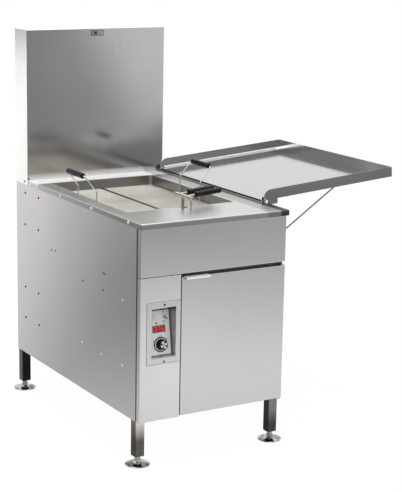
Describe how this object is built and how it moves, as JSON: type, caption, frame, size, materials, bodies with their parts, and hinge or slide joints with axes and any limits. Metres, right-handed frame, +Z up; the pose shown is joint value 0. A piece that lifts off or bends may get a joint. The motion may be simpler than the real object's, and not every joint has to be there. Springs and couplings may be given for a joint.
{
  "type": "donut fryer",
  "caption": "Floor-standing donut fryer: open kettle with lift-out screen, tall flue back, folding drain tray on a stay, front door, control recess and levelling feet.",
  "frame": {"origin": "on the floor under the middle of the cabinet's plan", "axes": "+Z up, the front with the door and controls faces -Y, the drain tray stands out towards +X"},
  "size_m": [1.2469, 1.137, 1.52],
  "materials": {
    "brushed_stainless": "fine brushed",
    "kettle_stainless": "satin",
    "leg_stainless": "brushed tube",
    "foot_steel": "turned and polished",
    "wire_steel": "bright drawn wire",
    "mesh_steel": "woven mesh",
    "black_grip": "moulded sleeve",
    "knob_black": "moulded",
    "knob_silver": "turned cap",
    "display_red": "tinted window",
    "lamp_amber": "clear lens",
    "control_face_grey": "satin overlay",
    "dial_scale": "printed scale",
    "black_iron": "black pipe",
    "cast_burner": "cast",
    "valve_aluminium": "die cast",
    "valve_brass": "machined",
    "lever_red": "dipped",
    "mineral_wool": "pressed wool",
    "grey_plastic": "moulded"
  },
  "bodies": {
    "cabinet": {"side_panel_left": "brushed_stainless", "side_panel_right": "brushed_stainless", "rear_panel": "brushed_stainless", "bottom_shelf": "brushed_stainless", "face_frame": "brushed_stainless", "control_enclosure": "brushed_stainless", "front_apron": "brushed_stainless", "control_panel": "brushed_stainless", "control_bezel": "brushed_stainless", "control_housing": "brushed_stainless", "control_face": "control_face_grey", "display_window": "display_red", "indicator_lamp": "lamp_amber", "dial_plate": "dial_scale", "toggle_bushing": "knob_silver", "deck": "brushed_stainless", "kettle": "kettle_stainless", "heat_tubes": "kettle_stainless", "flue_plenum": "kettle_stainless", "flue_riser": "brushed_stainless", "hanger_hook": "brushed_stainless", "burners": "cast_burner", "burner_manifold": "black_iron", "gas_valve": "valve_aluminium", "gas_pipe": "black_iron", "drain_pipe": "kettle_stainless", "drain_valve": "valve_brass", "temperature_probe": "wire_steel", "cord_gland": "grey_plastic", "kettle_insulation": "mineral_wool", "leg_front_left": "leg_stainless", "leg_front_right": "leg_stainless", "leg_rear_left": "leg_stainless", "leg_rear_right": "leg_stainless", "door_hinges": "brushed_stainless", "magnet_catch": "grey_plastic", "tray_brackets": "brushed_stainless", "bail_brackets": "brushed_stainless"},
    "door": {"door_skin": "brushed_stainless", "door_liner": "brushed_stainless", "door_pull": "brushed_stainless"},
    "knob": {"temperature_knob": "knob_black", "knob_cap": "knob_silver"},
    "switch": {"toggle_lever": "knob_silver"},
    "gas_control": {"gas_knob": "knob_black"},
    "drain_lever": {"drain_handle": "lever_red"},
    "screen": {"screen_frame": "kettle_stainless", "screen_mesh": "mesh_steel", "screen_handles": "wire_steel", "screen_grips": "black_grip"},
    "lifter": {"lifter_frame": "wire_steel", "lifter_grips": "black_grip"},
    "tray": {"tray_pan": "brushed_stainless", "tray_hooks": "brushed_stainless"},
    "stay": {"tray_bail": "wire_steel"},
    "foot_front_left": {"foot_front_left": "foot_steel"},
    "foot_front_right": {"foot_front_right": "foot_steel"},
    "foot_rear_left": {"foot_rear_left": "foot_steel"},
    "foot_rear_right": {"foot_rear_right": "foot_steel"}
  },
  "joints": [
    {"name": "door_swing", "type": "hinge", "parent": "cabinet", "child": "door", "pos_m": [0.301, -0.5315, 0.44], "axis": [0, 0, 1], "range_deg": [0, 110]},
    {"name": "knob_turn", "type": "hinge", "parent": "cabinet", "child": "knob", "pos_m": [-0.207, -0.51622, 0.45232], "axis": [0, -0.989, 0.1481], "range_deg": [-120, 150]},
    {"name": "switch_flip", "type": "hinge", "parent": "cabinet", "child": "switch", "pos_m": [-0.188, -0.5048, 0.55223], "axis": [1, 0, 0], "range_deg": [-36, 0]},
    {"name": "gas_control_turn", "type": "hinge", "parent": "cabinet", "child": "gas_control", "pos_m": [-0.048, -0.4905, 0.56], "axis": [0, -1, 0], "range_deg": [-180, 0]},
    {"name": "drain_lever_turn", "type": "hinge", "parent": "cabinet", "child": "drain_lever", "pos_m": [0.121, -0.4235, 0.643], "axis": [0, 0, 1], "range_deg": [-90, 0]},
    {"name": "screen_lift", "type": "slide", "parent": "cabinet", "child": "screen", "axis": [0, 0, 1], "range_m": [0, 0.07]},
    {"name": "lifter_lift", "type": "slide", "parent": "cabinet", "child": "lifter", "axis": [0, 0, 1], "range_m": [0, 0.2]},
    {"name": "tray_fold", "type": "hinge", "parent": "cabinet", "child": "tray", "pos_m": [0.3025, 0, 0.927], "axis": [0, -1, 0], "range_deg": [0, 95]},
    {"name": "stay_swing", "type": "hinge", "parent": "cabinet", "child": "stay", "pos_m": [0.321, 0, 0.684], "axis": [0, 1, 0], "range_deg": [0, 121]},
    {"name": "foot_front_left_screw", "type": "slide", "parent": "cabinet", "child": "foot_front_left", "axis": [0, 0, 1], "range_m": [-0.02, 0]},
    {"name": "foot_front_right_screw", "type": "slide", "parent": "cabinet", "child": "foot_front_right", "axis": [0, 0, 1], "range_m": [-0.02, 0]},
    {"name": "foot_rear_left_screw", "type": "slide", "parent": "cabinet", "child": "foot_rear_left", "axis": [0, 0, 1], "range_m": [-0.02, 0]},
    {"name": "foot_rear_right_screw", "type": "slide", "parent": "cabinet", "child": "foot_rear_right", "axis": [0, 0, 1], "range_m": [-0.02, 0]}
  ]
}
